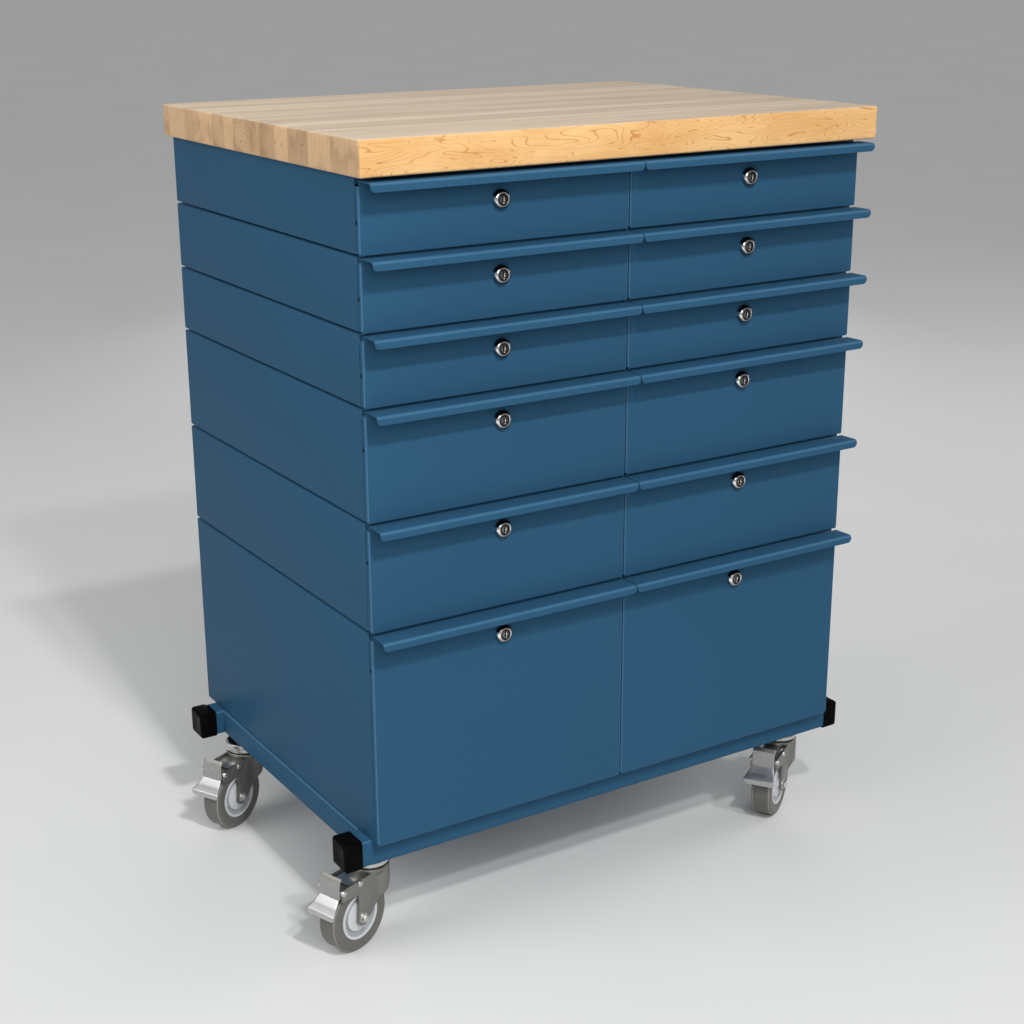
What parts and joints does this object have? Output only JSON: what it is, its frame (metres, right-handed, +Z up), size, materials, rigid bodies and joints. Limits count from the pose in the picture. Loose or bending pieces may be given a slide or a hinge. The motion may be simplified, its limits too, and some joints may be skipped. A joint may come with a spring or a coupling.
{
  "type": "mobile drawer cabinet",
  "caption": "Rolling steel cabinet with two stacks of locking drawers of several depths, a thick maple worktop, a tube base and braked swivel casters.",
  "frame": {"origin": "on the floor, under the middle of the two stacks of housings", "axes": "+Z up, +X to the right of a person facing the drawers, the drawers open towards -Y"},
  "size_m": [0.9074, 0.6175, 1.1085],
  "materials": {
    "blue_paint": "satin steel-blue powder coat",
    "worktop_maple": "oiled maple butcher block",
    "zinc_steel": "bright zinc plated steel",
    "black_vinyl": "glossy dipped vinyl",
    "tyre_grey": "grey rubber tyre on a pale moulded hub",
    "lock_chrome": "polished lock plug"
  },
  "bodies": {
    "cabinet": {"worktop": "worktop_maple", "base_frame": "blue_paint", "tube_end_caps": "black_vinyl", "frame_fasteners": "zinc_steel", "housing_tier_1": "blue_paint", "housing_tier_2": "blue_paint", "housing_tier_3": "blue_paint", "housing_tier_4": "blue_paint", "housing_tier_5": "blue_paint", "housing_tier_6": "blue_paint", "slide_outer_members": "zinc_steel", "caster_mounts": "zinc_steel"},
    "drawer_left_1": {"drawer_left_1": "blue_paint"},
    "slide_mid_left_1": {"slide_mid_left_1": "zinc_steel"},
    "lock_left_1": {"lock_plug_left_1": "lock_chrome"},
    "drawer_left_2": {"drawer_left_2": "blue_paint"},
    "slide_mid_left_2": {"slide_mid_left_2": "zinc_steel"},
    "lock_left_2": {"lock_plug_left_2": "lock_chrome"},
    "drawer_left_3": {"drawer_left_3": "blue_paint"},
    "slide_mid_left_3": {"slide_mid_left_3": "zinc_steel"},
    "lock_left_3": {"lock_plug_left_3": "lock_chrome"},
    "drawer_left_4": {"drawer_left_4": "blue_paint"},
    "slide_mid_left_4": {"slide_mid_left_4": "zinc_steel"},
    "lock_left_4": {"lock_plug_left_4": "lock_chrome"},
    "drawer_left_5": {"drawer_left_5": "blue_paint"},
    "slide_mid_left_5": {"slide_mid_left_5": "zinc_steel"},
    "lock_left_5": {"lock_plug_left_5": "lock_chrome"},
    "drawer_left_6": {"drawer_left_6": "blue_paint"},
    "slide_mid_left_6": {"slide_mid_left_6": "zinc_steel"},
    "lock_left_6": {"lock_plug_left_6": "lock_chrome"},
    "drawer_right_1": {"drawer_right_1": "blue_paint"},
    "slide_mid_right_1": {"slide_mid_right_1": "zinc_steel"},
    "lock_right_1": {"lock_plug_right_1": "lock_chrome"},
    "drawer_right_2": {"drawer_right_2": "blue_paint"},
    "slide_mid_right_2": {"slide_mid_right_2": "zinc_steel"},
    "lock_right_2": {"lock_plug_right_2": "lock_chrome"},
    "drawer_right_3": {"drawer_right_3": "blue_paint"},
    "slide_mid_right_3": {"slide_mid_right_3": "zinc_steel"},
    "lock_right_3": {"lock_plug_right_3": "lock_chrome"},
    "drawer_right_4": {"drawer_right_4": "blue_paint"},
    "slide_mid_right_4": {"slide_mid_right_4": "zinc_steel"},
    "lock_right_4": {"lock_plug_right_4": "lock_chrome"},
    "drawer_right_5": {"drawer_right_5": "blue_paint"},
    "slide_mid_right_5": {"slide_mid_right_5": "zinc_steel"},
    "lock_right_5": {"lock_plug_right_5": "lock_chrome"},
    "drawer_right_6": {"drawer_right_6": "blue_paint"},
    "slide_mid_right_6": {"slide_mid_right_6": "zinc_steel"},
    "lock_right_6": {"lock_plug_right_6": "lock_chrome"},
    "caster_front_left": {"caster_fork_front_left": "zinc_steel"},
    "wheel_front_left": {"caster_wheel_front_left": "tyre_grey"},
    "brake_front_left": {"brake_pedal_front_left": "zinc_steel"},
    "caster_front_right": {"caster_fork_front_right": "zinc_steel"},
    "wheel_front_right": {"caster_wheel_front_right": "tyre_grey"},
    "brake_front_right": {"brake_pedal_front_right": "zinc_steel"},
    "caster_rear_left": {"caster_fork_rear_left": "zinc_steel"},
    "wheel_rear_left": {"caster_wheel_rear_left": "tyre_grey"},
    "brake_rear_left": {"brake_pedal_rear_left": "zinc_steel"},
    "caster_rear_right": {"caster_fork_rear_right": "zinc_steel"},
    "wheel_rear_right": {"caster_wheel_rear_right": "tyre_grey"},
    "brake_rear_right": {"brake_pedal_rear_right": "zinc_steel"}
  },
  "joints": [
    {"name": "drawer_left_1_slide", "type": "slide", "parent": "cabinet", "child": "drawer_left_1", "axis": [0, -1, 0], "range_m": [0, 0.48]},
    {"name": "slide_mid_left_1_run", "type": "slide", "parent": "cabinet", "child": "slide_mid_left_1", "axis": [0, -1, 0], "range_m": [0, 0.24]},
    {"name": "lock_left_1_turn", "type": "hinge", "parent": "drawer_left_1", "child": "lock_left_1", "pos_m": [-0.198, -0.294, 1.023], "axis": [0, -1, 0], "range_deg": [0, 90]},
    {"name": "drawer_left_2_slide", "type": "slide", "parent": "cabinet", "child": "drawer_left_2", "axis": [0, -1, 0], "range_m": [0, 0.48]},
    {"name": "slide_mid_left_2_run", "type": "slide", "parent": "cabinet", "child": "slide_mid_left_2", "axis": [0, -1, 0], "range_m": [0, 0.24]},
    {"name": "lock_left_2_turn", "type": "hinge", "parent": "drawer_left_2", "child": "lock_left_2", "pos_m": [-0.198, -0.294, 0.929], "axis": [0, -1, 0], "range_deg": [0, 90]},
    {"name": "drawer_left_3_slide", "type": "slide", "parent": "cabinet", "child": "drawer_left_3", "axis": [0, -1, 0], "range_m": [0, 0.48]},
    {"name": "slide_mid_left_3_run", "type": "slide", "parent": "cabinet", "child": "slide_mid_left_3", "axis": [0, -1, 0], "range_m": [0, 0.24]},
    {"name": "lock_left_3_turn", "type": "hinge", "parent": "drawer_left_3", "child": "lock_left_3", "pos_m": [-0.198, -0.294, 0.835], "axis": [0, -1, 0], "range_deg": [0, 90]},
    {"name": "drawer_left_4_slide", "type": "slide", "parent": "cabinet", "child": "drawer_left_4", "axis": [0, -1, 0], "range_m": [0, 0.48]},
    {"name": "slide_mid_left_4_run", "type": "slide", "parent": "cabinet", "child": "slide_mid_left_4", "axis": [0, -1, 0], "range_m": [0, 0.24]},
    {"name": "lock_left_4_turn", "type": "hinge", "parent": "drawer_left_4", "child": "lock_left_4", "pos_m": [-0.198, -0.294, 0.741], "axis": [0, -1, 0], "range_deg": [0, 90]},
    {"name": "drawer_left_5_slide", "type": "slide", "parent": "cabinet", "child": "drawer_left_5", "axis": [0, -1, 0], "range_m": [0, 0.48]},
    {"name": "slide_mid_left_5_run", "type": "slide", "parent": "cabinet", "child": "slide_mid_left_5", "axis": [0, -1, 0], "range_m": [0, 0.24]},
    {"name": "lock_left_5_turn", "type": "hinge", "parent": "drawer_left_5", "child": "lock_left_5", "pos_m": [-0.198, -0.294, 0.593], "axis": [0, -1, 0], "range_deg": [0, 90]},
    {"name": "drawer_left_6_slide", "type": "slide", "parent": "cabinet", "child": "drawer_left_6", "axis": [0, -1, 0], "range_m": [0, 0.48]},
    {"name": "slide_mid_left_6_run", "type": "slide", "parent": "cabinet", "child": "slide_mid_left_6", "axis": [0, -1, 0], "range_m": [0, 0.24]},
    {"name": "lock_left_6_turn", "type": "hinge", "parent": "drawer_left_6", "child": "lock_left_6", "pos_m": [-0.198, -0.294, 0.445], "axis": [0, -1, 0], "range_deg": [0, 90]},
    {"name": "drawer_right_1_slide", "type": "slide", "parent": "cabinet", "child": "drawer_right_1", "axis": [0, -1, 0], "range_m": [0, 0.48]},
    {"name": "slide_mid_right_1_run", "type": "slide", "parent": "cabinet", "child": "slide_mid_right_1", "axis": [0, -1, 0], "range_m": [0, 0.24]},
    {"name": "lock_right_1_turn", "type": "hinge", "parent": "drawer_right_1", "child": "lock_right_1", "pos_m": [0.198, -0.294, 1.023], "axis": [0, -1, 0], "range_deg": [0, 90]},
    {"name": "drawer_right_2_slide", "type": "slide", "parent": "cabinet", "child": "drawer_right_2", "axis": [0, -1, 0], "range_m": [0, 0.48]},
    {"name": "slide_mid_right_2_run", "type": "slide", "parent": "cabinet", "child": "slide_mid_right_2", "axis": [0, -1, 0], "range_m": [0, 0.24]},
    {"name": "lock_right_2_turn", "type": "hinge", "parent": "drawer_right_2", "child": "lock_right_2", "pos_m": [0.198, -0.294, 0.929], "axis": [0, -1, 0], "range_deg": [0, 90]},
    {"name": "drawer_right_3_slide", "type": "slide", "parent": "cabinet", "child": "drawer_right_3", "axis": [0, -1, 0], "range_m": [0, 0.48]},
    {"name": "slide_mid_right_3_run", "type": "slide", "parent": "cabinet", "child": "slide_mid_right_3", "axis": [0, -1, 0], "range_m": [0, 0.24]},
    {"name": "lock_right_3_turn", "type": "hinge", "parent": "drawer_right_3", "child": "lock_right_3", "pos_m": [0.198, -0.294, 0.835], "axis": [0, -1, 0], "range_deg": [0, 90]},
    {"name": "drawer_right_4_slide", "type": "slide", "parent": "cabinet", "child": "drawer_right_4", "axis": [0, -1, 0], "range_m": [0, 0.48]},
    {"name": "slide_mid_right_4_run", "type": "slide", "parent": "cabinet", "child": "slide_mid_right_4", "axis": [0, -1, 0], "range_m": [0, 0.24]},
    {"name": "lock_right_4_turn", "type": "hinge", "parent": "drawer_right_4", "child": "lock_right_4", "pos_m": [0.198, -0.294, 0.741], "axis": [0, -1, 0], "range_deg": [0, 90]},
    {"name": "drawer_right_5_slide", "type": "slide", "parent": "cabinet", "child": "drawer_right_5", "axis": [0, -1, 0], "range_m": [0, 0.48]},
    {"name": "slide_mid_right_5_run", "type": "slide", "parent": "cabinet", "child": "slide_mid_right_5", "axis": [0, -1, 0], "range_m": [0, 0.24]},
    {"name": "lock_right_5_turn", "type": "hinge", "parent": "drawer_right_5", "child": "lock_right_5", "pos_m": [0.198, -0.294, 0.593], "axis": [0, -1, 0], "range_deg": [0, 90]},
    {"name": "drawer_right_6_slide", "type": "slide", "parent": "cabinet", "child": "drawer_right_6", "axis": [0, -1, 0], "range_m": [0, 0.48]},
    {"name": "slide_mid_right_6_run", "type": "slide", "parent": "cabinet", "child": "slide_mid_right_6", "axis": [0, -1, 0], "range_m": [0, 0.24]},
    {"name": "lock_right_6_turn", "type": "hinge", "parent": "drawer_right_6", "child": "lock_right_6", "pos_m": [0.198, -0.294, 0.445], "axis": [0, -1, 0], "range_deg": [0, 90]},
    {"name": "caster_front_left_swivel", "type": "hinge", "parent": "cabinet", "child": "caster_front_left", "pos_m": [-0.37, -0.2145, 0.121], "axis": [0, 0, 1], "continuous": true},
    {"name": "wheel_front_left_roll", "type": "hinge", "parent": "caster_front_left", "child": "wheel_front_left", "pos_m": [-0.40393, -0.22652, 0.051], "axis": [0.3338, -0.9426, 0], "continuous": true},
    {"name": "brake_front_left_press", "type": "hinge", "parent": "caster_front_left", "child": "brake_front_left", "pos_m": [-0.43881, -0.23887, 0.105], "axis": [0.3338, -0.9426, 0], "range_deg": [0, 12]},
    {"name": "caster_front_right_swivel", "type": "hinge", "parent": "cabinet", "child": "caster_front_right", "pos_m": [0.37, -0.2145, 0.121], "axis": [0, 0, 1], "continuous": true},
    {"name": "wheel_front_right_roll", "type": "hinge", "parent": "caster_front_right", "child": "wheel_front_right", "pos_m": [0.33967, -0.2339, 0.051], "axis": [0.5388, -0.8425, 0], "continuous": true},
    {"name": "brake_front_right_press", "type": "hinge", "parent": "caster_front_right", "child": "brake_front_right", "pos_m": [0.3085, -0.25383, 0.105], "axis": [0.5388, -0.8425, 0], "range_deg": [0, 12]},
    {"name": "caster_rear_left_swivel", "type": "hinge", "parent": "cabinet", "child": "caster_rear_left", "pos_m": [-0.37, 0.2085, 0.121], "axis": [0, 0, 1], "continuous": true},
    {"name": "wheel_rear_left_roll", "type": "hinge", "parent": "caster_rear_left", "child": "wheel_rear_left", "pos_m": [-0.40213, 0.19227, 0.051], "axis": [0.4509, -0.8926, 0], "continuous": true},
    {"name": "brake_rear_left_press", "type": "hinge", "parent": "caster_rear_left", "child": "brake_rear_left", "pos_m": [-0.43516, 0.17559, 0.105], "axis": [0.4509, -0.8926, 0], "range_deg": [0, 12]},
    {"name": "caster_rear_right_swivel", "type": "hinge", "parent": "cabinet", "child": "caster_rear_right", "pos_m": [0.37, 0.2085, 0.121], "axis": [0, 0, 1], "continuous": true},
    {"name": "wheel_rear_right_roll", "type": "hinge", "parent": "caster_rear_right", "child": "wheel_rear_right", "pos_m": [0.33711, 0.19386, 0.051], "axis": [0.4067, -0.9135, 0], "continuous": true},
    {"name": "brake_rear_right_press", "type": "hinge", "parent": "caster_rear_right", "child": "brake_rear_right", "pos_m": [0.30331, 0.17881, 0.105], "axis": [0.4067, -0.9135, 0], "range_deg": [0, 12]}
  ],
  "couplings": [
    {"joint": "slide_mid_left_1_run", "follows": "drawer_left_1_slide", "ratio": 0.5},
    {"joint": "slide_mid_left_2_run", "follows": "drawer_left_2_slide", "ratio": 0.5},
    {"joint": "slide_mid_left_3_run", "follows": "drawer_left_3_slide", "ratio": 0.5},
    {"joint": "slide_mid_left_4_run", "follows": "drawer_left_4_slide", "ratio": 0.5},
    {"joint": "slide_mid_left_5_run", "follows": "drawer_left_5_slide", "ratio": 0.5},
    {"joint": "slide_mid_left_6_run", "follows": "drawer_left_6_slide", "ratio": 0.5},
    {"joint": "slide_mid_right_1_run", "follows": "drawer_right_1_slide", "ratio": 0.5},
    {"joint": "slide_mid_right_2_run", "follows": "drawer_right_2_slide", "ratio": 0.5},
    {"joint": "slide_mid_right_3_run", "follows": "drawer_right_3_slide", "ratio": 0.5},
    {"joint": "slide_mid_right_4_run", "follows": "drawer_right_4_slide", "ratio": 0.5},
    {"joint": "slide_mid_right_5_run", "follows": "drawer_right_5_slide", "ratio": 0.5},
    {"joint": "slide_mid_right_6_run", "follows": "drawer_right_6_slide", "ratio": 0.5}
  ]
}
